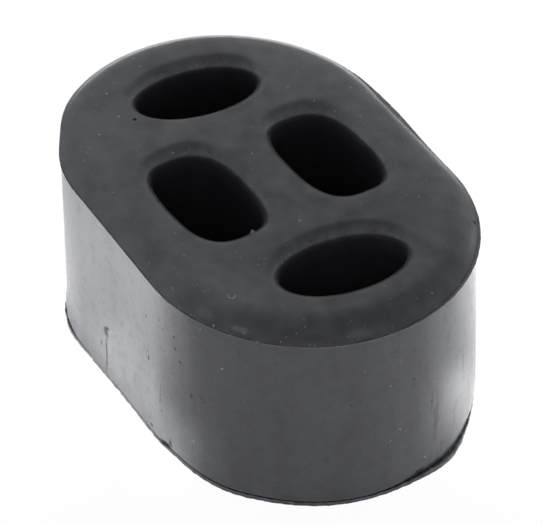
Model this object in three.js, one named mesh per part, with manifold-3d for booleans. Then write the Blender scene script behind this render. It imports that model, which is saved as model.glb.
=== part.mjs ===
import * as THREE from 'three';
import Module from 'manifold-3d';

// An exhaust hanger: one block of moulded rubber with four holes right through it.
// Millimetres. Z is up, X runs along the block, and the origin is the middle of its underside.

// The two slots that lie side by side along the block
const slotLength = 17.6;
const slotWidth = 10.6;
const slotSquareness = 2.8;
const slotTurn = 2;

// The oval hole across each end of the block
const endHoleSpan = 17.1;
const endHoleWidth = 9.6;
const endHoleSquareness = 2.07;
const endHoleTurn = -3.4;

// The rubber between the holes, and past them to the outside
const middleWeb = 7.3;
const crossWeb = 6;
const sideWall = 8.1;
const endWall = 8.1;

// The holes' cores stand a little to +Y of the outline, the rear one more and the front one less
const coreShift = 0.35;
const endCoreSkew = 0.5;

// Every hole's mouth rolls in from the face with this radius, on both faces
const mouthRadius = 2.1;

// The top face rolls down to the parting line, where it meets the wall at an angle
const blockHeight = 30;
const edgeRollWidth = 5;
const edgeRollSlope = 45;

// Flash along the parting line: its thickness, how far it stands out of the roll above it,
// and how far the wall under it is set back and how soon
const partingEdge = 0.12;
const partingReach = 0.06;
const partingSetback = 0.15;
const partingUnderside = 0.2;

// The lower end of the wall stands this far to +Y of the rim
const footShift = 0.9;

// The lip of flash round the foot, and the ledge from its upper edge in to the wall
const lipReach = 0.4;
const lipHeight = 0.5;
const ledgeHeight = 0.75;
const ledgeDepth = 0.05;

// The wall takes up the waves of the torn lip below this height only
const waveHeight = 4;

// Waves round the block: direction and spread in degrees, and the change of reach there.
// First the lip of the foot, which was torn wider or closer
const lipWaves = [
  { at: -124, spread: 11, reach: 0.7 },
  { at: -105, spread: 12, reach: 0.25 },
  { at: -58, spread: 7, reach: -0.34 },
  { at: -40, spread: 7, reach: 0.22 },
  { at: -8, spread: 18, reach: 0.2 },
  { at: 15, spread: 9, reach: 0.82 },
  { at: 42, spread: 12, reach: -0.2 },
];

// Where the ledge above the lip is deeper
const ledgeWaves = [
  { at: -148, spread: 10, reach: 0.3 },
  { at: -124, spread: 8, reach: 0.3 },
  { at: -35, spread: 25, reach: 0.15 },
  { at: 14, spread: 13, reach: 0.85 },
];

// Where the flash of the parting line is wider
const partingWaves = [
  { at: 28, spread: 26, reach: 0.36 },
  { at: 102, spread: 18, reach: 0.5 },
];

// Where the outline of the top isn't true
const rimWaves = [
  { at: 28, spread: 26, reach: -0.38 },
  { at: 178, spread: 42, reach: 0.45 },
  { at: -138, spread: 9, reach: -0.5 },
];

// How finely the round shapes are divided
const endSteps = 28;
const sideSteps = 8;
const rollSteps = 5;
const holeSteps = 36;
const mouthSteps = 4;
const cutClearance = 1;

const rubber = { color: 0x2b2c2f, roughness: 0.55, metalness: 0 };

// Sizes that follow from those above
const blockLength = slotLength + 2 * (crossWeb + endHoleWidth + endWall);
const blockWidth = middleWeb + 2 * (slotWidth + sideWall);
const slotCentreY = (middleWeb + slotWidth) / 2;
const endHoleCentreX = slotLength / 2 + crossWeb + endHoleWidth / 2;
const endRadius = blockWidth / 2;
const endCentreX = blockLength / 2 - endRadius;
const rollEnd = THREE.MathUtils.degToRad(edgeRollSlope);
const rollRadius = edgeRollWidth / Math.sin(rollEnd);
const rimHeight = blockHeight - rollRadius * (1 - Math.cos(rollEnd));

const holes = [
  {
    x: -endHoleCentreX, y: coreShift + endCoreSkew, turn: endHoleTurn,
    sizeX: endHoleWidth, sizeY: endHoleSpan, squareness: endHoleSquareness,
  },
  {
    x: endHoleCentreX, y: coreShift - endCoreSkew, turn: endHoleTurn,
    sizeX: endHoleWidth, sizeY: endHoleSpan, squareness: endHoleSquareness,
  },
  {
    x: 0, y: coreShift - slotCentreY, turn: slotTurn,
    sizeX: slotLength, sizeY: slotWidth, squareness: slotSquareness,
  },
  {
    x: 0, y: coreShift + slotCentreY, turn: slotTurn,
    sizeX: slotLength, sizeY: slotWidth, squareness: slotSquareness,
  },
];

// The outline with two straight sides and two round ends, as points with their outward directions
function outlinePoints() {
  const points = [];
  for (const end of [1, -1]) {
    for (let i = 0; i <= endSteps; i++) {
      const angle = Math.PI * (i / endSteps - 0.5);
      const outX = end * Math.cos(angle);
      const outY = end * Math.sin(angle);
      points.push({ x: end * endCentreX, y: 0, outX, outY });
    }
    for (let i = 1; i < sideSteps; i++) {
      const x = end * endCentreX * (1 - (2 * i) / sideSteps);
      points.push({ x, y: 0, outX: 0, outY: end });
    }
  }
  return points;
}

const outline = outlinePoints();

// One ring of the block's surface: the outline grown point by point, moved to +Y, at a height
function blockRing(height, growAt, shiftY = 0) {
  return outline.map((point) => {
    const reach = endRadius + growAt(point);
    return new THREE.Vector3(point.x + reach * point.outX, reach * point.outY + shiftY, height);
  });
}

// What the waves add up to at a point of the outline
function sumWaves(waves, point) {
  const direction = Math.atan2(endRadius * point.outY, point.x + endRadius * point.outX);
  let sum = 0;
  for (const wave of waves) {
    const turn = direction - THREE.MathUtils.degToRad(wave.at);
    const apart = THREE.MathUtils.radToDeg(Math.atan2(Math.sin(turn), Math.cos(turn)));
    sum += wave.reach * Math.exp(-((apart / wave.spread) ** 2));
  }
  return sum;
}

const lipAt = (point) => lipReach + sumWaves(lipWaves, point);
const wallFootAt = (point) => lipAt(point) - ledgeDepth - sumWaves(ledgeWaves, point);
const rimAt = (point) => sumWaves(rimWaves, point);
const partingAt = (point) => rimAt(point) + partingReach + sumWaves(partingWaves, point);

// A ring round one hole, its outline grown by an amount
function holeRing(hole, height, grow) {
  const power = 2 / hole.squareness;
  const turn = THREE.MathUtils.degToRad(hole.turn);
  const ring = [];
  for (let i = 0; i < holeSteps; i++) {
    const angle = (2 * Math.PI * i) / holeSteps;
    const along = Math.cos(angle);
    const across = Math.sin(angle);
    const x = (hole.sizeX / 2 + grow) * Math.sign(along) * Math.abs(along) ** power;
    const y = (hole.sizeY / 2 + grow) * Math.sign(across) * Math.abs(across) ** power;
    ring.push(new THREE.Vector3(
      hole.x + x * Math.cos(turn) - y * Math.sin(turn),
      hole.y + x * Math.sin(turn) + y * Math.cos(turn),
      height,
    ));
  }
  return ring;
}

// A closed skin through rings of equal count, listed from the lowest up, with a flat fan on each end
function loft(rings) {
  const count = rings[0].length;
  const positions = [];
  const faces = [];
  for (const ring of rings) {
    for (const point of ring) positions.push(point.x, point.y, point.z);
  }
  for (let level = 0; level + 1 < rings.length; level++) {
    for (let i = 0; i < count; i++) {
      const next = (i + 1) % count;
      const low = level * count;
      const high = low + count;
      faces.push(low + i, low + next, high + next);
      faces.push(low + i, high + next, high + i);
    }
  }
  for (const [level, facesUp] of [[0, false], [rings.length - 1, true]]) {
    const ring = rings[level];
    const start = level * count;
    const middle = ring.reduce((sum, point) => sum.add(point), new THREE.Vector3());
    middle.divideScalar(count);
    const hub = positions.length / 3;
    positions.push(middle.x, middle.y, middle.z);
    for (let i = 0; i < count; i++) {
      const next = (i + 1) % count;
      if (facesUp) faces.push(start + i, start + next, hub);
      else faces.push(start + next, start + i, hub);
    }
  }
  const geometry = new THREE.BufferGeometry();
  geometry.setAttribute('position', new THREE.Float32BufferAttribute(positions, 3));
  geometry.setIndex(faces);
  return geometry;
}

// The block without its holes: lip, ledge, wall, parting line and the roll up to the flat top
function blockGeometry() {
  const plainWallFoot = lipReach - ledgeDepth;
  const upToRim = 1 - waveHeight / rimHeight;
  const wallTop = rimHeight - partingEdge - partingUnderside;
  const rings = [
    blockRing(0, lipAt, footShift),
    blockRing(lipHeight, lipAt, footShift),
    blockRing(ledgeHeight, wallFootAt, footShift),
    blockRing(waveHeight, () => plainWallFoot * upToRim, footShift * upToRim),
    blockRing(wallTop, (point) => rimAt(point) - partingSetback),
    blockRing(rimHeight - partingEdge, partingAt),
    blockRing(rimHeight, partingAt),
  ];
  for (let i = 0; i <= rollSteps; i++) {
    const slope = rollEnd * (1 - i / rollSteps);
    const outerShare = (rollRadius * Math.sin(slope)) / edgeRollWidth;
    const inward = edgeRollWidth * (1 - outerShare);
    const height = blockHeight - rollRadius * (1 - Math.cos(slope));
    rings.push(blockRing(height, (point) => rimAt(point) * outerShare - inward));
  }
  return loft(rings);
}

// The space of one hole, opening out at both faces and running past them
function holeGeometry(hole) {
  const lower = [holeRing(hole, -cutClearance, mouthRadius)];
  for (let i = 0; i <= mouthSteps; i++) {
    const slope = (Math.PI / 2) * (i / mouthSteps);
    const grow = mouthRadius * (1 - Math.sin(slope));
    lower.push(holeRing(hole, mouthRadius * (1 - Math.cos(slope)), grow));
  }
  const upper = lower.map((ring) => ring.map((point) => {
    const mirrored = point.clone();
    mirrored.z = blockHeight - point.z;
    return mirrored;
  }));
  return loft([...lower, ...upper.reverse()]);
}

const wasm = await Module();
wasm.setup();

function toSolid(geometry) {
  return new wasm.Manifold(new wasm.Mesh({
    numProp: 3,
    vertProperties: new Float32Array(geometry.attributes.position.array),
    triVerts: new Uint32Array(geometry.index.array),
  }));
}

function toGeometry(solid) {
  const mesh = solid.getMesh();
  const geometry = new THREE.BufferGeometry();
  geometry.setAttribute('position', new THREE.BufferAttribute(mesh.vertProperties, 3));
  geometry.setIndex(new THREE.BufferAttribute(mesh.triVerts, 1));
  geometry.computeVertexNormals();
  return geometry;
}

function hangerBlock() {
  let block = toSolid(blockGeometry());
  for (const hole of holes) block = block.subtract(toSolid(holeGeometry(hole)));
  const mesh = new THREE.Mesh(toGeometry(block), new THREE.MeshStandardMaterial(rubber));
  mesh.name = 'hanger_block';
  return mesh;
}

const hanger = new THREE.Group();
hanger.add(hangerBlock());

export default hanger;
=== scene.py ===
import bpy
import bmesh
import math
from mathutils import Matrix, Vector, noise


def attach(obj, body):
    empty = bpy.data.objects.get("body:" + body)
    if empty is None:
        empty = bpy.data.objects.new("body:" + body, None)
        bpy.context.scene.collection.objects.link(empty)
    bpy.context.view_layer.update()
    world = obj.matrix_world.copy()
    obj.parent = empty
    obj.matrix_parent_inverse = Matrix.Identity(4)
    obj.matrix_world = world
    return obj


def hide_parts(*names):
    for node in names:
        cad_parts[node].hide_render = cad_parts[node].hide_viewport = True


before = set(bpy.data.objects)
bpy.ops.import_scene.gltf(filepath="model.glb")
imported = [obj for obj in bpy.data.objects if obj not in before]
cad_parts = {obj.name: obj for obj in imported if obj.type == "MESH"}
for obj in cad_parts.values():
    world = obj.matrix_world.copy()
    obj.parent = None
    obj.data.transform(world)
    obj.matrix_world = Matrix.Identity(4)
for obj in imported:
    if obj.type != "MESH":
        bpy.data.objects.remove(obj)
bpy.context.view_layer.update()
mm = 0.001
joinWithin = 0.001 * mm      # points closer together than this become one


def startClean():
    if bpy.context.object and bpy.context.object.mode != "OBJECT":
        bpy.ops.object.mode_set(mode="OBJECT")
    bpy.ops.object.select_all(action="DESELECT")


def pickPoints(piece, wanted):
    bpy.ops.mesh.select_mode(type="VERT")
    mesh = bmesh.from_edit_mesh(piece.data)
    for point in mesh.verts:
        point.select_set(False)
    for point in mesh.verts:
        if wanted(point.co):
            point.select_set(True)
    mesh.select_flush(True)
    bmesh.update_edit_mesh(piece.data)


def pickEdges(piece, wanted):
    bpy.ops.mesh.select_mode(type="EDGE")
    mesh = bmesh.from_edit_mesh(piece.data)
    for edge in mesh.edges:
        edge.select_set(wanted(edge))
    bmesh.update_edit_mesh(piece.data)


def pickFaces(piece, wanted):
    bpy.ops.mesh.select_mode(type="FACE")
    mesh = bmesh.from_edit_mesh(piece.data)
    for face in mesh.faces:
        face.select_set(False)
    for face in mesh.faces:
        if wanted(face):
            face.select_set(True)
    bmesh.update_edit_mesh(piece.data)


def liftFace(rise, slide=0.0):
    bpy.ops.mesh.extrude_region_move(TRANSFORM_OT_translate={"value": (0, slide, rise)})


def closeSkin():
    # what lies in the same place is merged, and then every face is turned outwards
    bpy.ops.mesh.select_all(action="SELECT")
    bpy.ops.mesh.remove_doubles(threshold=joinWithin)
    bpy.ops.mesh.normals_make_consistent(inside=False)


block = {
    "endRadius": 22.35 * mm,
    "endCentre": 10.15 * mm,
    "height": 30 * mm,
    "undersideRing": 1 * mm,        # how far inside the outline the underside's ring lies
    "footShift": 0.9 * mm,          # the foot stands this far to +Y of the rim
    "lipReach": 0.4 * mm,           # the lip of flash round the foot
    "lipHeight": 0.5 * mm,
    "lipBevel": 0.1 * mm,           # its upper edge is broken off slantwise
    "ledgeHeight": 0.75 * mm,       # the ledge runs from the lip's edge in to the wall
    "ledgeDepth": 0.05 * mm,
    "ledgeStart": 0.1,              # how far in its rings lie, as shares of its depth
    "ledgeShares": (0.4, 0.7),
    "ledgeSteps": 5,
    "roughLedge": 0.25 * mm,        # a ledge this deep is as rough and as undercut as it gets
    "slitDepth": 0.16 * mm,         # where the wall is undercut just above the ledge
    "slitShare": 0.6,               # how open the slit is on average, and how that changes
    "slitChange": 2,
    "slitWaves": 120,
    "waveHeight": 4 * mm,           # the wall takes up the lip's waves below this height
    "partingEdge": 0.12 * mm,       # the flash along the parting line
    "partingReach": 0.06 * mm,
    "partingSetback": 0.15 * mm,
    "partingUnderside": 0.2 * mm,
    "roughFlash": 0.2 * mm,         # flash this wide is as torn as it gets
    "rimSetback": 0.1 * mm,         # the whole rim stands in by this much
    "rollStep": 0.15 * mm,          # the small step from the flash up to the roll
    "stepRings": ((0.6, 0.15), (0.4, 0.45)),      # rise and setback as shares of the step
    "rollWidth": 5 * mm,
    "rollSlope": math.radians(45),
    "smoothBelow": math.radians(28),              # steeper angles between faces stay sharp
    "endPoints": 840,               # round both ends together
    "sideCuts": 120,
    "wallRings": 20,
    "rollRings": 14,
}

# Waves round the block: direction and spread in degrees, and the change of reach in mm
waves = {
    "lip": [(-124, 11, 0.7), (-105, 12, 0.25), (-58, 7, -0.34), (-40, 7, 0.22),
            (-8, 18, 0.2), (15, 9, 0.82), (42, 12, -0.2)],
    "ledge": [(-148, 10, 0.3), (-124, 8, 0.3), (-35, 25, 0.15), (14, 13, 0.7)],
    "parting": [(28, 26, 0.36), (102, 18, 0.5)],
    "rim": [(28, 26, -0.38), (178, 42, 0.45), (-138, 9, -0.5)],
}

# Torn lines: how far each strays in coarse and in fine waves, in mm
torn = {
    "lipFoot": (0.09, 0.05),
    "lipFace": (0.07, 0.05),
    "lipEdge": (0.1, 0.06),
    "ledge": (0.12, 0.08),
    "flash": (0.05, 0.04),
}
tornWaves = {"coarse": 900, "fine": 2600}      # per metre
lipSetbacks = {"lipFoot": 0.10 * mm, "lipFace": 0.09 * mm, "lipEdge": 0.10 * mm}


def sumWaves(name, direction):
    total = 0.0
    for at, spread, change in waves[name]:
        apart = (direction - at + 180) % 360 - 180
        total += change * mm * math.exp(-((apart / spread) ** 2))
    return total


def lipAt(direction):
    return block["lipReach"] + sumWaves("lip", direction)


def ledgeAt(direction):
    return block["ledgeDepth"] + sumWaves("ledge", direction)


def rimAt(direction):
    return sumWaves("rim", direction) - block["rimSetback"]


def ragged(place, line):
    # how far a torn line strays at this place
    coarse, fine = torn[line]
    return (noise.noise(place * tornWaves["coarse"]) * coarse * mm
            + noise.noise(place * tornWaves["fine"]) * fine * mm)


def liftRing(piece, rise, reachAt, shift=(0.0, 0.0)):
    # one more ring of the skin: lifted, then set out from the middle line of the block.
    # The ring below stands shift[0] to +Y, and this one shift[1]
    liftFace(rise)
    mesh = bmesh.from_edit_mesh(piece.data)
    for point in mesh.verts:
        if not point.select:
            continue
        along = max(-block["endCentre"], min(block["endCentre"], point.co.x))
        outward = Vector((point.co.x - along, point.co.y - shift[0], 0)).normalized()
        flat = Vector((along, 0, 0)) + outward * block["endRadius"]
        direction = math.degrees(math.atan2(flat.y, flat.x))
        reach = block["endRadius"] + reachAt(direction, Vector((flat.x, flat.y, point.co.z)))
        point.co.x = along + outward.x * reach
        point.co.y = shift[1] + outward.y * reach
    bmesh.update_edit_mesh(piece.data)


def makeFoot(piece):
    # the torn lip with its upright face, the rough ledge above it, and the slit under the wall
    shift = (block["footShift"], block["footShift"])
    bevel = block["lipBevel"]
    rise = (block["ledgeHeight"] - block["lipHeight"]) / block["ledgeSteps"]

    def lipLine(line):
        return lambda way, place: lipAt(way) + ragged(place, line) - lipSetbacks[line]

    def bevelAt(way, place):
        return lipAt(way) - bevel - block["ledgeStart"] * ledgeAt(way) + ragged(place, "lipEdge")

    def roughAt(way):
        return min(1, ledgeAt(way) / block["roughLedge"])

    def ledgeLine(share):
        return lambda way, place: (lipAt(way) - bevel / 2 - share * ledgeAt(way)
                                   + ragged(place, "ledge") * roughAt(way))

    def slitAt(way, place):
        change = block["slitChange"] * noise.noise(place * block["slitWaves"])
        depth = block["slitDepth"] * roughAt(way) * max(0, min(1, block["slitShare"] + change))
        return lipAt(way) - ledgeAt(way) - bevel / 2 - depth

    liftRing(piece, 0.0, lipLine("lipFoot"), shift)
    liftRing(piece, block["lipHeight"] / 2, lipLine("lipFace"), shift)
    liftRing(piece, block["lipHeight"] / 2 - bevel / 2, lipLine("lipEdge"), shift)
    liftRing(piece, bevel / 2, bevelAt, shift)
    for share in block["ledgeShares"]:
        liftRing(piece, rise, ledgeLine(share), shift)
    liftRing(piece, rise, slitAt, shift)
    liftRing(piece, 2 * rise, lambda way, place: lipAt(way) - ledgeAt(way), shift)


def makeWall(piece, wallTop):
    rings = block["wallRings"]
    rise = (wallTop - block["ledgeHeight"]) / rings
    plain = block["lipReach"] - block["ledgeDepth"]
    wavyPart = block["waveHeight"] - block["ledgeHeight"]
    for ring in range(1, rings + 1):
        up = ring / rings
        height = block["ledgeHeight"] + rise * ring
        waving = max(0.0, 1 - (height - block["ledgeHeight"]) / wavyPart)
        shift = (block["footShift"] * (1 - up + 1 / rings), block["footShift"] * (1 - up))

        def wallAt(way, place):
            wave = lipAt(way) - ledgeAt(way) - plain
            top = rimAt(way) - block["partingSetback"]
            return plain * (1 - up) + wave * waving ** 2 + top * up

        liftRing(piece, rise, wallAt, shift)


def makeRim(piece):
    # the thin flash of the parting line, with a torn edge, then the roll up to the flat top
    slope = block["rollSlope"]
    radius = block["rollWidth"] / math.sin(slope)
    step = block["rollStep"]

    def flashAt(way, place):
        flash = block["partingReach"] + sumWaves("parting", way)
        return rimAt(way) + flash + ragged(place, "flash") * min(1, flash / block["roughFlash"])

    liftRing(piece, block["partingUnderside"], flashAt)
    liftRing(piece, block["partingEdge"], flashAt)
    liftRing(piece, 0.0, lambda way, place: rimAt(way))
    for rise, setback in block["stepRings"]:
        liftRing(piece, rise * step, lambda way, place: rimAt(way) - setback * step)
    for ring in range(1, block["rollRings"] + 1):
        before = slope * (1 - (ring - 1) / block["rollRings"])
        after = slope * (1 - ring / block["rollRings"])
        share = radius * math.sin(after) / block["rollWidth"]
        rise = radius * (math.cos(after) - math.cos(before)) - (step if ring == 1 else 0)
        liftRing(piece, rise,
                 lambda way, place: rimAt(way) * share - block["rollWidth"] * (1 - share))


def makeBlock():
    startClean()
    bpy.ops.mesh.primitive_circle_add(
        vertices=block["endPoints"], fill_type="NGON",
        radius=block["endRadius"] - block["undersideRing"],
        location=(0, block["footShift"], 0), rotation=(0, 0, math.pi / block["endPoints"]))
    piece = bpy.context.object
    piece.name = "hangerRubber"
    bpy.ops.object.transform_apply(location=True, rotation=True, scale=True)
    bpy.ops.object.mode_set(mode="EDIT")
    for end in (1, -1):
        pickPoints(piece, lambda place: place.x * end > 0)
        bpy.ops.transform.translate(value=(end * block["endCentre"], 0, 0))
    pickEdges(piece, lambda edge: edge.calc_length() > block["endCentre"])
    bpy.ops.mesh.subdivide(number_cuts=block["sideCuts"])
    pickFaces(piece, lambda face: True)
    radius = block["rollWidth"] / math.sin(block["rollSlope"])
    rim = block["height"] - radius * (1 - math.cos(block["rollSlope"]))
    makeFoot(piece)
    makeWall(piece, rim - block["partingEdge"] - block["partingUnderside"])
    makeRim(piece)
    closeSkin()
    bpy.ops.object.mode_set(mode="OBJECT")
    return piece


holes = {
    "rearOval": {"place": (-19.6, 0.85), "size": (9.6, 17.1), "square": 2.07, "turn": -3.4},
    "frontOval": {"place": (19.6, -0.15), "size": (9.6, 17.1), "square": 2.07, "turn": -3.4},
    "rightSlot": {"place": (0, -8.60), "size": (17.6, 10.6), "square": 2.8, "turn": 2},
    "leftSlot": {"place": (0, 9.30), "size": (17.6, 10.6), "square": 2.8, "turn": 2},
}
mouth = {
    "radius": 2.1 * mm,
    "rings": 8,
    "points": 160,
    "wallRings": 6,
    "clearance": 1 * mm,
    "middleWithin": 0.01 * mm,      # a face this close to the mirror's plane is taken out
}


def squareOff(cutter, square):
    # a round outline, pushed out into its corners
    mesh = bmesh.from_edit_mesh(cutter.data)
    for point in mesh.verts:
        for axis in (0, 1):
            side = point.co[axis]
            point.co[axis] = math.copysign(abs(side) ** (2 / square), side)
    bmesh.update_edit_mesh(cutter.data)


def makeCutter(name, hole):
    # upper half of the hole's space about its middle, then mirrored down
    startClean()
    bpy.ops.mesh.primitive_circle_add(vertices=mouth["points"], radius=1, fill_type="NGON")
    cutter = bpy.context.object
    cutter.name = name
    bpy.ops.object.mode_set(mode="EDIT")
    squareOff(cutter, hole["square"])
    spanX, spanY = hole["size"][0] / 2 * mm, hole["size"][1] / 2 * mm
    bpy.ops.transform.resize(value=(spanX, spanY, 1))
    pickFaces(cutter, lambda face: True)
    half = block["height"] / 2
    for ring in range(mouth["wallRings"]):
        liftFace((half - mouth["radius"]) / mouth["wallRings"])
    for ring in range(mouth["rings"]):
        before = math.pi / 2 * ring / mouth["rings"]
        after = math.pi / 2 * (ring + 1) / mouth["rings"]
        liftFace(mouth["radius"] * (math.sin(after) - math.sin(before)))
        inner = mouth["radius"] * (1 - math.cos(before))
        outer = mouth["radius"] * (1 - math.cos(after))
        bpy.ops.transform.resize(value=((spanX + outer) / (spanX + inner),
                                        (spanY + outer) / (spanY + inner), 1))
    liftFace(mouth["clearance"])
    pickFaces(cutter, lambda face: abs(face.calc_center_median().z) < mouth["middleWithin"])
    bpy.ops.mesh.delete(type="ONLY_FACE")
    bpy.ops.object.mode_set(mode="OBJECT")
    bpy.ops.object.modifier_add(type="MIRROR")
    mirror = cutter.modifiers[-1]
    mirror.use_axis = (False, False, True)
    mirror.merge_threshold = joinWithin
    bpy.ops.object.modifier_apply(modifier=mirror.name)
    cutter.location = (hole["place"][0] * mm, hole["place"][1] * mm, half)
    cutter.rotation_euler = (0, 0, math.radians(hole["turn"]))
    bpy.ops.object.transform_apply(location=True, rotation=True, scale=True)
    bpy.ops.object.mode_set(mode="EDIT")
    closeSkin()
    bpy.ops.object.mode_set(mode="OBJECT")
    return cutter


def cutAway(piece, cutter):
    startClean()
    piece.select_set(True)
    bpy.context.view_layer.objects.active = piece
    bpy.ops.object.modifier_add(type="BOOLEAN")
    cut = piece.modifiers[-1]
    cut.operation = "DIFFERENCE"
    cut.solver = "EXACT"
    cut.object = cutter
    bpy.ops.object.modifier_apply(modifier=cut.name)
    bpy.data.objects.remove(cutter)


blemishes = {
    "pitPlace": Vector((-17.33, -9.8, 30)) * mm,      # a small pit in the top face
    "pitRadius": 0.26 * mm,
    "nibPlace": Vector((9.4, -7.4, 29.45)) * mm,      # a nib of rubber on the mouth of a slot
    "nibReach": 0.36 * mm,
    "nibMove": Vector((-0.35, 0.1, 0.55)) * mm,
}


def addBlemishes(piece):
    startClean()
    bpy.ops.mesh.primitive_uv_sphere_add(segments=20, ring_count=12, radius=blemishes["pitRadius"],
                                         location=blemishes["pitPlace"])
    cutAway(piece, bpy.context.object)
    for point in piece.data.vertices:
        apart = (point.co - blemishes["nibPlace"]).length
        if apart < blemishes["nibReach"]:
            point.co += blemishes["nibMove"] * (1 - apart / blemishes["nibReach"])


hollowing = {
    "edgeBand": 6 * mm,             # this far in from the outline there are no holes
    "start": 0.9 * mm,              # the depth below the top face, and how much further it is full
    "reach": 2 * mm,
    "brimDepth": 0.75 * mm,
    "brimReach": 0.6 * mm,
}


def markHollows(piece):
    # "hollow" is 1 well inside the holes, and "mouth" is 1 round the brim of their mouths
    hollows = piece.data.attributes.new("hollow", "FLOAT", "POINT")
    mouths = piece.data.attributes.new("mouth", "FLOAT", "POINT")
    for point, hollow, brim in zip(piece.data.vertices, hollows.data, mouths.data):
        place = point.co
        along = max(-block["endCentre"], min(block["endCentre"], place.x))
        out = math.hypot(place.x - along, place.y)
        if out >= block["endRadius"] - hollowing["edgeBand"]:
            continue
        depth = block["height"] - place.z
        hollow.value = min(1, max(0, (depth - hollowing["start"]) / hollowing["reach"]))
        offBrim = abs(depth - hollowing["brimDepth"])
        brim.value = max(0, 1 - offBrim / hollowing["brimReach"])


rubber = makeBlock()
for name, hole in holes.items():
    cutAway(rubber, makeCutter(name, hole))
addBlemishes(rubber)
startClean()
rubber.select_set(True)
bpy.context.view_layer.objects.active = rubber
bpy.ops.object.mode_set(mode="EDIT")
closeSkin()
bpy.ops.object.mode_set(mode="OBJECT")
bpy.ops.object.shade_smooth_by_angle(angle=block["smoothBelow"])
markHollows(rubber)
print("block:", len(rubber.data.polygons), "faces")


class Wire:
    # a socket of a material, with its sums written as Python
    def __init__(self, socket):
        self.socket = socket

    def node(self, kind, settings=None, inputs=None, output=0):
        tree = self.socket.id_data
        made = tree.nodes.new(kind)
        for name, value in (settings or {}).items():
            setattr(made, name, value)
        for name, value in (inputs or {}).items():
            if isinstance(value, Wire):
                tree.links.new(value.socket, made.inputs[name])
            else:
                made.inputs[name].default_value = value
        return Wire(made.outputs[output])

    def other(self, output):
        # another output of the node that this wire comes from
        return Wire(self.socket.node.outputs[output])

    def sum(self, operation, *values):
        return self.node("ShaderNodeMath", {"operation": operation}, dict(enumerate(values)))

    def __add__(self, other):
        return self.sum("ADD", self, other)

    __radd__ = __add__

    def __sub__(self, other):
        return self.sum("SUBTRACT", self, other)

    def __rsub__(self, other):
        return self.sum("SUBTRACT", other, self)

    def __mul__(self, other):
        return self.sum("MULTIPLY", self, other)

    __rmul__ = __mul__

    def size(self):
        return self.sum("ABSOLUTE", self)

    def most(self, other):
        return self.sum("MAXIMUM", self, other)

    def least(self, other):
        return self.sum("MINIMUM", self, other)

    def between(self, low, high):
        # 0 up to low, 1 from high on, smooth in between
        return self.node("ShaderNodeMapRange", {"interpolation_type": "SMOOTHSTEP"},
                         {"Value": self, "From Min": low, "From Max": high})

    def mix(self, first, second):
        # colours blended by this wire
        return self.node("ShaderNodeMix", {"data_type": "RGBA"},
                         {"Factor": self, 6: first, 7: second}, 2)


def grey(level, blue=1.2):
    return (level, level * (1 + 0.2 * (blue - 1)), level * blue, 1)


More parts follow.
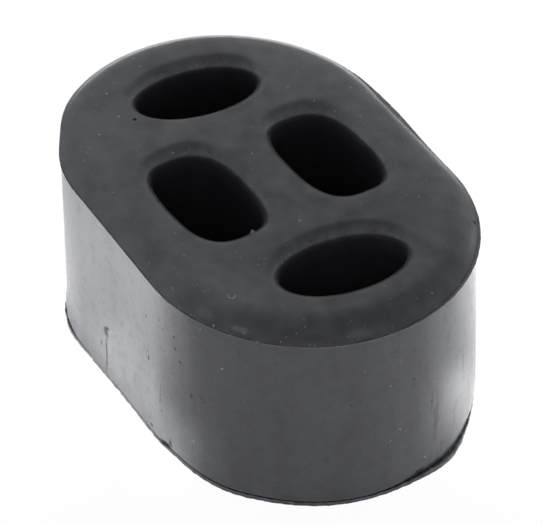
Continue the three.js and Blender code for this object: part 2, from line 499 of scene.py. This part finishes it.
# Marks on the skin: the middle in mm, the turn about X, Y and Z in degrees, how far each reaches
# along its own X, Y and Z, and how much lighter (or, below 0, how much darker) it is in its middle
marks = [
    # the first mark paints shade inside the pit
    ((-17.33, -9.8, 30), (0, 0, 0), (0.3, 0.3, 0.6), -1.0),            # the pit
    ((18.8, -19.4, 28.85), (0, 0, 24), (1.8, 0.7, 1.2), 0.10),         # lighter and darker patches on the roll
    ((23.2, -17.1, 28.65), (0, 0, 37), (1.5, 0.45, 1.0), 0.20),
    ((31.1, -4.8, 28.66), (0, 0, 77), (2.2, 0.7, 1.2), 0.10),
    ((22.9, 17.2, 28.7), (0, 0, -38), (3.6, 0.7, 1.5), 0.3),
    ((28.9, -10.3, 28.75), (0, 0, 61), (2.4, 0.6, 1.0), -0.25),
    ((20.5, 18.9, 28.4), (0, 0, 0), (0.35, 0.35, 0.6), -0.8),
    ((-3.5, -21.9, 9.1), (0, -39, 0), (1.5, 2, 0.4), -0.7),            # a smudge on the long wall
    ((-3.6, -21.9, 8.3), (0, 0, 0), (0.9, 2, 1.1), -0.6),
    ((-3.72, -21.85, 4.2), (0, 0, 0), (0.26, 2, 4.2), -0.75),
    ((-5.2, -21.9, 5.2), (0, 0, 0), (0.3, 2, 0.6), -0.65),
    ((8.5, -22.0, 13.9), (0, 12, 0), (0.15, 2, 0.75), -0.95),          # pits and scratches there
    ((8.2, -22.0, 14.7), (0, 50, 0), (0.12, 2, 0.4), -0.6),
    ((4.25, -21.9, 6.7), (0, 0, 0), (0.13, 2, 1.3), -0.5),
    ((8.15, -22.1, 20.8), (0, 0, 0), (0.28, 2, 0.35), -0.6),
    ((11.6, -22.1, 22.9), (0, 0, 0), (0.2, 2, 0.3), -0.5),
    ((14.7, -21.65, 22.35), (0, 0, 0), (0.3, 2, 0.3), -0.7),
    ((14.8, -21.6, 20.4), (0, 0, 0), (0.22, 2, 0.4), -0.6),
    ((15.67, -21.4, 18.7), (0, 0, 0), (0.32, 2, 0.25), -0.7),
    ((17.5, -20.7, 14.1), (0, 0, 0), (0.3, 1.5, 0.7), -0.45),
    ((11.3, -21.9, 9.6), (0, 5, 0), (0.09, 2, 3.2), -0.6),
    ((11.54, -21.9, 6.9), (0, 0, 0), (0.2, 2, 0.28), -0.85),
    ((8.6, -21.8, 1.76), (0, 0, 0), (0.45, 2, 0.35), -0.8),
    ((4.65, -22.1, 24.0), (0, 30, 0), (0.35, 2, 0.13), -0.5),
    ((11.9, -21.7, 0.9), (0, -20, 0), (1.7, 2, 0.7), -0.9),            # the torn flap at the foot
    ((13.2, -21.6, 2.2), (0, 0, 0), (0.35, 2, 1.1), -0.75),
    ((31.7, 7.3, 9.0), (0, 0, 0), (2, 0.22, 6.0), -0.3),               # a streak by the bright end
    ((32.0, 6.2, 12.5), (0, 0, 0), (2, 0.15, 3.0), -0.2),
    ((-24.05, -10.43, 30), (0, 0, 0), (0.2, 0.16, 0.3), 0.9),          # flecks of dust
    ((-18.92, -11.34, 30), (0, 0, 20), (0.35, 0.14, 0.3), 0.7),
    ((-16.8, -15.28, 30), (0, 0, 50), (0.28, 0.14, 0.3), 0.8),
    ((20.7, -19.34, 28.25), (0, 0, 0), (0.22, 0.2, 0.2), 0.9),
    ((19.0, -20.4, 26.6), (0, 0, 0), (0.16, 0.3, 0.16), 0.7),
    ((21.8, -18.8, 21.5), (0, 0, 0), (0.16, 0.3, 0.16), 0.8),
    ((17.7, -20.6, 6.06), (0, 0, 0), (0.2, 0.3, 0.14), 0.8),
    ((32.5, -0.7, 18.9), (0, 0, 0), (0.3, 0.12, 0.28), 0.7),
    ((32.65, 1.0, 10.6), (30, 0, 0), (0.3, 0.12, 0.4), 0.45),
    ((32.65, -0.4, 9.2), (-30, 0, 0), (0.3, 0.12, 0.4), 0.45),
    ((32.35, 5.3, 3.1), (0, 0, 0), (0.3, 0.14, 0.2), 1.0),
    ((9.25, -7.35, 29.8), (0, 0, 0), (0.25, 0.2, 0.5), 0.35),          # the nib
]
dustRing = {
    "middle": Vector((18.76, -15.73, 29.97)) * mm,
    "radius": 0.42 * mm,
    "width": 0.12 * mm,
    "core": 0.4,                    # the full part of its width
    "shownSide": Vector((0.87, -0.49, 0)),     # the ring is open on the other side
    "shown": (-0.3 * mm, 0.1 * mm),
    "strength": 0.6,
}

# Noise: waves per metre, detail, and how much closer the waves are along X, Y and Z
noiseMean = 0.5
noises = {
    "patchy": (900.0, 4.0, (1, 1, 1)),
    "fibres": (1500.0, 4.0, (1, 1, 3)),
    "mottle": (420.0, 4.0, (1, 1, 1)),
    "scratches": (1500.0, 2.0, (1, 1, 0.07)),
    "patches": (110.0, 4.0, (1, 1, 1)),
    "rubs": (260.0, 4.0, (1, 1, 0.12)),
    "coarse": (500.0, 1.0, (1, 1, 1)),
    "fine": (3200.0, 1.5, (1, 1, 1)),
}

# Scattered specks: cells per metre, the size in mm, and the share of the cells that have one
speckCore = 0.4          # the part of a speck's size where it is full
fullSpecks = 0.5         # the share of the specks that aren't fainter
specks = {
    "pits": (620.0, 0.15, 0.6),
    "finePits": (1300.0, 0.11, 0.8),
    "grains": (900.0, 0.13, 0.9),
    "flecks": (330.0, 0.18, 0.4),
    "edges": (1500.0, 0.14, 0.9),
    "brims": (1700.0, 0.12, 0.9),
}

# Bands round the block, by height in mm: where each starts, is full, begins to fade, and ends
bands = {
    "ledge": (0.53, 0.60, 0.7, 1.1),
    "slitShade": (0.55, 0.62, 0.68, 0.8),
    "lip": (0.2, 0.4, 0.5, 0.56),
    "flash": (27.62, 27.74, 27.9, 27.95),
    "line": (27.93, 27.97, 28.02, 28.12),
    "rim": (27.6, 27.8, 28.0, 28.3),
}

# Where something starts and where it is full: shares of noise, or metres. The wall, the foot, the
# bottom edge and a mark fade out there instead
ramps = {
    "broken": (0.35, 0.6),
    "half": (0.4, 0.55),
    "scratches": (0.6, 0.72),
    "mottled": (0.5, 0.75),
    "patched": (0.5, 0.8),
    "wall": (0.3, 0.6),             # how far the skin faces up or down
    "inHole": (0.0, 0.2),
    "foot": (0.7 * mm, 1.1 * mm),
    "bottom": (0.05 * mm, 0.28 * mm),
    "bottomEnd": (10 * mm, 16 * mm),
    "scratched": (2 * mm, 9 * mm),
    "lipSide": (14 * mm, 24 * mm),
    "rearSheen": (0, 22 * mm),
    "sideSheen": (6 * mm, 18 * mm),
    "mark": (0.3, 1.1),
}

# How much dirt and painted shade, and how much dust and painted highlight, there is, from 0 to 1.
# "Less" is taken off, and the others are added
dirtAndShadeShares = {
    "ledge": 0.45, "ledgeFibres": 0.5, "slitShade": 0.6, "bottom": 0.3, "bottomPatches": 0.6,
    "line": 0.6, "pits": 0.35, "wallPits": 0.6, "finePits": 0.4, "scratches": 0.04,
    "sideScratches": 0.22, "mottled": 0.16, "patched": 0.14, "holes": 0.75,
}
dustAndHighlight = {
    "grains": 0.6, "wallGrainsLess": 0.45, "flecks": 0.6, "wallFlecksLess": 0.4, "holesLess": 0.7,
    "foot": 0.6, "rim": 0.9, "lip": 0.3, "flash": 0.14, "flashPatches": 0.2, "brim": 0.1,
    "brimGrains": 0.5,
}
# the rear and side sheen raise the coat as a painted sheen on the top
coating = {
    "weight": 0.6, "wall": 0.06, "wallLess": 0.6, "rearSheen": 0.2, "sideSheen": 0.26,
    "roughness": 0.2, "index": 1.7,
}
skinLook = {
    "darkest": grey(0.014), "lightest": grey(0.031), "lightness": (0.2, 0.8),
    "patches": 0.4, "mottle": 0.6, "rubs": 0.5, "roughness": 0.55, "patchRoughness": 0.1,
    "fineHeight": 0.5, "coarseHeight": 0.6, "index": 1.5, "mirroring": 0.3,
    "sootAndShade": grey(0.011), "dustAndHighlight": grey(0.22, 1.08),
}
shaking = {"waves": 2600.0, "reach": 0.5 * mm}
bumping = {"Strength": 0.2, "Distance": 0.05 * mm}


def makeRubber():
    material = bpy.data.materials.new("mouldedRubber")
    material.use_nodes = True
    tree = material.node_tree
    tree.nodes.clear()
    place = Wire(tree.nodes.new("ShaderNodeTexCoord").outputs["Object"])
    hollow = place.node("ShaderNodeAttribute", {"attribute_name": "hollow"}, {}, "Fac")
    brim = place.node("ShaderNodeAttribute", {"attribute_name": "mouth"}, {}, "Fac")
    high = place.node("ShaderNodeSeparateXYZ", {}, {0: place}, 2)
    along, across = high.other(0), high.other(1)
    facing = place.node("ShaderNodeNewGeometry", {}, {}, "Normal")
    upward = place.node("ShaderNodeSeparateXYZ", {}, {0: facing}, 2)

    def noiseOf(name):
        scale, detail, stretch = noises[name]
        stretched = place.node("ShaderNodeMapping", {"vector_type": "POINT"},
                               {"Vector": place, "Scale": stretch})
        return place.node("ShaderNodeTexNoise", {},
                          {"Vector": stretched, "Scale": scale, "Detail": detail})

    def vector(operation, first, second, output=0):
        return place.node("ShaderNodeVectorMath", {"operation": operation},
                          {0: first, 1: second}, output)

    # places are shaken a little, so that no mark has a smooth edge
    random = place.node("ShaderNodeTexNoise", {},
                        {"Vector": place, "Scale": shaking["waves"]}, "Color")
    shake = vector("SUBTRACT", random, (noiseMean,) * 3)
    shaken = vector("ADD", place, vector("MULTIPLY", shake, (shaking["reach"],) * 3))

    def specksOf(name):
        scale, size, share = specks[name]
        apart = place.node("ShaderNodeTexVoronoi", {},
                           {"Vector": shaken, "Scale": scale}, "Distance")
        pick = place.node("ShaderNodeSeparateColor", {}, {0: apart.other("Color")}, 0)
        reach = size * mm * scale
        strength = pick.between(1 - share, 1 - fullSpecks * share)
        return (1 - apart.between(speckCore * reach, reach)) * strength

    def bandOf(name):
        start, full, fading, end = [value * mm for value in bands[name]]
        return high.between(start, full) * (1 - high.between(fading, end))

    def markOf(middle, turn, spread, strength):
        away = place.node("ShaderNodeMapping", {"vector_type": "TEXTURE"}, {
            "Vector": shaken, "Location": Vector(middle) * mm, "Scale": Vector(spread) * mm,
            "Rotation": [math.radians(value) for value in turn]})
        return (1 - vector("LENGTH", away, (0, 0, 0), "Value").between(*ramps["mark"])) * strength

    dark, dustAndHighlightMask = hollow * 0.0, hollow * 0.0
    for middle, turn, spread, strength in marks:
        if strength < 0:
            dark = dark.most(markOf(middle, turn, spread, -strength))
        else:
            dustAndHighlightMask = dustAndHighlightMask.most(markOf(middle, turn, spread, strength))
    away = vector("SUBTRACT", shaken, dustRing["middle"])
    offRing = (vector("LENGTH", away, (0, 0, 0), "Value") - dustRing["radius"]).size()
    ring = 1 - offRing.between(dustRing["core"] * dustRing["width"], dustRing["width"])
    side = vector("DOT_PRODUCT", away, dustRing["shownSide"], "Value").between(*dustRing["shown"])
    dustAndHighlightMask = dustAndHighlightMask.most(dustRing["strength"] * side * ring)

    # grime and painted shade: on the ledge above the foot, in the slit, on the bottom edge and in
    # the step above the parting line
    patchy = noiseOf("patchy")
    fibres = noiseOf("fibres")
    mottle = noiseOf("mottle")
    broken = patchy.between(*ramps["broken"])
    wall = 1 - upward.size().between(*ramps["wall"])
    outside = 1 - hollow.between(*ramps["inHole"])
    foot = 1 - high.between(*ramps["foot"])
    # dirt and painted shade in the crease of the ledge above the foot
    ledge = bandOf("ledge") * (1 - wall)
    # painted shade in the undercut slit
    slitShade = bandOf("slitShade") * patchy.between(*ramps["half"])
    # painted contact shade along the bottom edge, with some grime
    bottom = (1 - high.between(*ramps["bottom"])) * (1 - along.between(*ramps["bottomEnd"]))
    # partly grime, partly painted shade in the step above the parting line
    line = bandOf("line") * outside * broken
    grimeAndShade = (ledge * (dirtAndShadeShares["ledge"] + dirtAndShadeShares["ledgeFibres"] * fibres.between(*ramps["broken"]))
             + slitShade * dirtAndShadeShares["slitShade"] + bottom * (dirtAndShadeShares["bottom"] + dirtAndShadeShares["bottomPatches"] * patchy)
             + line * dirtAndShadeShares["line"])

    # pits all over, and on the walls fine pits, scratches and rubbed patches
    pits = specksOf("pits") * (dirtAndShadeShares["pits"] + dirtAndShadeShares["wallPits"] * wall)
    pits = pits + specksOf("finePits") * wall * dirtAndShadeShares["finePits"]
    scratched = dirtAndShadeShares["scratches"] + dirtAndShadeShares["sideScratches"] * across.between(*ramps["scratched"])
    rubbed = (noiseOf("scratches").between(*ramps["scratches"]) * scratched
              + mottle.between(*ramps["mottled"]) * dirtAndShadeShares["mottled"]
              + patchy.between(*ramps["patched"]) * dirtAndShadeShares["patched"])
    # inside the holes the rubber is darkened to at least the holes' share: painted shade
    dark = (dark + grimeAndShade + pits + rubbed * wall).least(1.0).most(hollow * dirtAndShadeShares["holes"])

    # dust: grains and flecks all over, and more on the rim, the foot and the brims of the holes;
    # painted highlights on the brims, the lip's face and the parting flash
    grains = specksOf("grains") * (dustAndHighlight["grains"] - dustAndHighlight["wallGrainsLess"] * wall)
    flecks = specksOf("flecks") * (dustAndHighlight["flecks"] - dustAndHighlight["wallFlecksLess"] * wall)
    scattered = (grains + flecks) * (1 - dustAndHighlight["holesLess"] * hollow)
    edges = specksOf("edges") * (foot * dustAndHighlight["foot"] + bandOf("rim") * outside * dustAndHighlight["rim"])
    # painted reflection of the lit floor on the lip's face, towards +X
    lip = bandOf("lip") * along.between(*ramps["lipSide"]) * broken * dustAndHighlight["lip"]
    # painted highlight: a lighter line along the parting flash, broken up in patches
    flash = bandOf("flash") * outside * (dustAndHighlight["flash"] + dustAndHighlight["flashPatches"] * broken)
    # the brims of the mouths get a broken painted highlight and dust grains
    brims = brim * (dustAndHighlight["brim"] * broken + dustAndHighlight["brimGrains"] * specksOf("brims"))
    dustAndHighlightMask = (dustAndHighlightMask + scattered + edges + lip + flash + brims).least(1.0)

    # the rubber itself is uneven, and a painted sheen raises its coat towards the rear and the long
    # sides, lightening the top there
    patches = noiseOf("patches")
    rubs = wall * (noiseOf("rubs") - noiseMean)
    uneven = (patches * skinLook["patches"] + mottle * skinLook["mottle"]
              + rubs * skinLook["rubs"])
    colour = uneven.between(*skinLook["lightness"]).mix(skinLook["darkest"], skinLook["lightest"])
    roughness = skinLook["roughness"] + skinLook["patchRoughness"] * patches
    paintedSheen = ((-1 * along).between(*ramps["rearSheen"]) * coating["rearSheen"]
             + across.size().between(*ramps["sideSheen"]) * coating["sideSheen"])
    coat = (coating["weight"] + coating["wall"] * wall
            + (uneven - noiseMean) * (1 - coating["wallLess"] * wall) + paintedSheen * (1 - wall))
    height = (noiseOf("fine") * skinLook["fineHeight"]
              + noiseOf("coarse") * skinLook["coarseHeight"])
    bump = place.node("ShaderNodeBump", {}, dict(bumping, Height=height))
    skin = place.node("ShaderNodeBsdfPrincipled", {}, {
        "Base Color": colour, "Roughness": roughness, "Normal": bump,
        "IOR": skinLook["index"], "Specular IOR Level": skinLook["mirroring"],
        "Coat Weight": coat.least(1.0), "Coat Roughness": coating["roughness"],
        "Coat IOR": coating["index"]})
    # the soot colour paints grime and shade; the dust colour paints dust and highlights
    sootAndShade = place.node("ShaderNodeBsdfDiffuse", {}, {"Color": skinLook["sootAndShade"], "Normal": bump})
    powderAndHighlight = place.node("ShaderNodeBsdfDiffuse", {}, {"Color": skinLook["dustAndHighlight"], "Normal": bump})
    soiledAndShaded = place.node("ShaderNodeMixShader", {}, {0: dark, 1: skin, 2: sootAndShade})
    shader = place.node("ShaderNodeMixShader", {}, {0: dustAndHighlightMask, 1: soiledAndShaded, 2: powderAndHighlight})
    output = tree.nodes.new("ShaderNodeOutputMaterial")
    tree.links.new(shader.socket, output.inputs["Surface"])
    return material


rubber.data.materials.clear()
rubber.data.materials.append(makeRubber())
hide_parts("hanger_block")
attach(rubber, "root")
print("rubber: material done")

studio = {
    "floorSize": 3.0,
    "overhead": 0.26,               # the room's light straight up, and at the near horizon
    "horizon": 0.75,
    "farHorizon": 0.385,            # the far side's light at the horizon, and its rise to the top
    "farRise": 0.3,
    "farFrom": (0.15, 0.6),         # how far towards -X it starts, and is full
    "leftLevel": 0.7,               # the same side's light further to -Y
    "leftFrom": (0.1, 0.6),
    "tint": (0.97, 0.985, 1.045, 1),
    "floorColour": (0.84, 0.845, 0.865, 1),
    "whiteShare": 0.95,             # how much of the floor's white doesn't depend on its light,
    "mirroredWhite": 0.04,          # and how much of the white that the rubber mirrors
}


def makeFloor():
    startClean()
    bpy.ops.mesh.primitive_plane_add(size=studio["floorSize"], location=(0, 0, 0))
    floor = bpy.context.object
    floor.name = "studioFloor"
    material = bpy.data.materials.new("studioPaper")
    material.use_nodes = True
    tree = material.node_tree
    tree.nodes.clear()
    path = tree.nodes.new("ShaderNodeLightPath")
    seen = Wire(path.outputs["Is Camera Ray"])
    mirrored = Wire(path.outputs["Is Glossy Ray"])
    share = seen * studio["whiteShare"] + mirrored * studio["mirroredWhite"]
    paper = seen.node("ShaderNodeBsdfDiffuse", {}, {"Color": studio["floorColour"]})
    white = seen.node("ShaderNodeEmission", {}, {"Color": (1, 1, 1, 1), "Strength": 1.0})
    mixed = seen.node("ShaderNodeMixShader", {}, {0: share, 1: paper, 2: white})
    output = tree.nodes.new("ShaderNodeOutputMaterial")
    tree.links.new(mixed.socket, output.inputs["Surface"])
    floor.data.materials.append(material)


def makeWorld():
    world = bpy.data.worlds.new("studioRoom")
    bpy.context.scene.world = world
    world.use_nodes = True
    tree = world.node_tree
    tree.nodes.clear()
    path = tree.nodes.new("ShaderNodeLightPath")
    seen = Wire(path.outputs["Is Camera Ray"])
    way = tree.nodes.new("ShaderNodeTexCoord")
    direction = {0: Wire(way.outputs["Generated"])}
    x, y, z = [seen.node("ShaderNodeSeparateXYZ", {}, direction, axis) for axis in range(3)]
    near = z.between(0, 1) * (studio["overhead"] - studio["horizon"]) + studio["horizon"]
    far = z.most(0.0) * studio["farRise"] + studio["farHorizon"]
    left = (-1 * y).between(*studio["leftFrom"])
    far = far + left * (studio["leftLevel"] - far)
    level = near + (-1 * x).between(*studio["farFrom"]) * (far - near)
    strength = level + seen * (1 - level)
    colour = seen.mix(studio["tint"], (1, 1, 1, 1))
    room = seen.node("ShaderNodeBackground", {}, {"Color": colour, "Strength": strength})
    output = tree.nodes.new("ShaderNodeOutputWorld")
    tree.links.new(room.socket, output.inputs["Surface"])


lampSpread = math.radians(110)
lamps = {
    # place and aim in mm, width and height in mm, and watts
    "leftBench": {"place": (-25, -48, 22), "aim": (-25, -32, 0), "size": (52, 22), "power": 0.0136},
    "rightBench": {"place": (4, 64, 45), "aim": (6, 52, 0), "size": (60, 40), "power": 0.0325},
    "cornerBench": {"place": (32, 26, 8), "aim": (28, 19.5, 0), "size": (10, 7), "power": 0.0013},
    "footBench": {"place": (2, -27.5, 5.5), "aim": (2, -23.5, 0), "size": (30, 4),
                  "power": 0.00105},
    "rearBench": {"place": (-150, 60, 110), "aim": (-110, 50, 0), "size": (120, 200),
                  "power": 0.11},
    "frontBench": {"place": (130, -80, 130), "aim": (110, -66, 0), "size": (150, 100),
                   "power": 0.095},
}


def makeLamp(name, lamp):
    place = Vector(lamp["place"]) * mm
    data = bpy.data.lights.new(name, "AREA")
    data.shape = "RECTANGLE"
    data.size = lamp["size"][0] * mm
    data.size_y = lamp["size"][1] * mm
    data.energy = lamp["power"]
    data.spread = lampSpread
    light = bpy.data.objects.new(name, data)
    bpy.context.scene.collection.objects.link(light)
    light.location = place
    light.rotation_mode = "QUATERNION"
    light.rotation_quaternion = (Vector(lamp["aim"]) * mm - place).to_track_quat("-Z", "Y")
    light.visible_camera = False
    light.visible_glossy = False      # only the floor that it lights is mirrored


makeFloor()
makeWorld()
for name, lamp in lamps.items():
    makeLamp(name, lamp)

viewpoint = {
    "lens": 172.376,
    "sensor": 36.0,
    "eye": Vector((221.39, -132.93, 244.44)) * mm,
    "azimuth": math.radians(58.78),
    "elevation": math.radians(41.7536),
    "roll": math.radians(1.18),
    "nearest": 0.01,
    "furthest": 10,
}


def makeCamera():
    data = bpy.data.cameras.new("viewpoint")
    data.lens = viewpoint["lens"]
    data.sensor_width = viewpoint["sensor"]
    data.clip_start = viewpoint["nearest"]
    data.clip_end = viewpoint["furthest"]
    camera = bpy.data.objects.new("viewpoint", data)
    bpy.context.scene.collection.objects.link(camera)
    turn, rise = viewpoint["azimuth"], viewpoint["elevation"]
    back = Vector((math.sin(turn) * math.cos(rise),
                   -math.cos(turn) * math.cos(rise), math.sin(rise)))
    camera.location = viewpoint["eye"]
    camera.rotation_mode = "QUATERNION"
    level = (-back).to_track_quat("-Z", "Y")
    camera.rotation_quaternion = Matrix.Rotation(viewpoint["roll"], 3, back).to_quaternion() @ level
    bpy.context.scene.camera = camera


makeCamera()
bpy.context.scene.view_settings.view_transform = "Standard"
print("studio: floor, room, lamps and camera done")
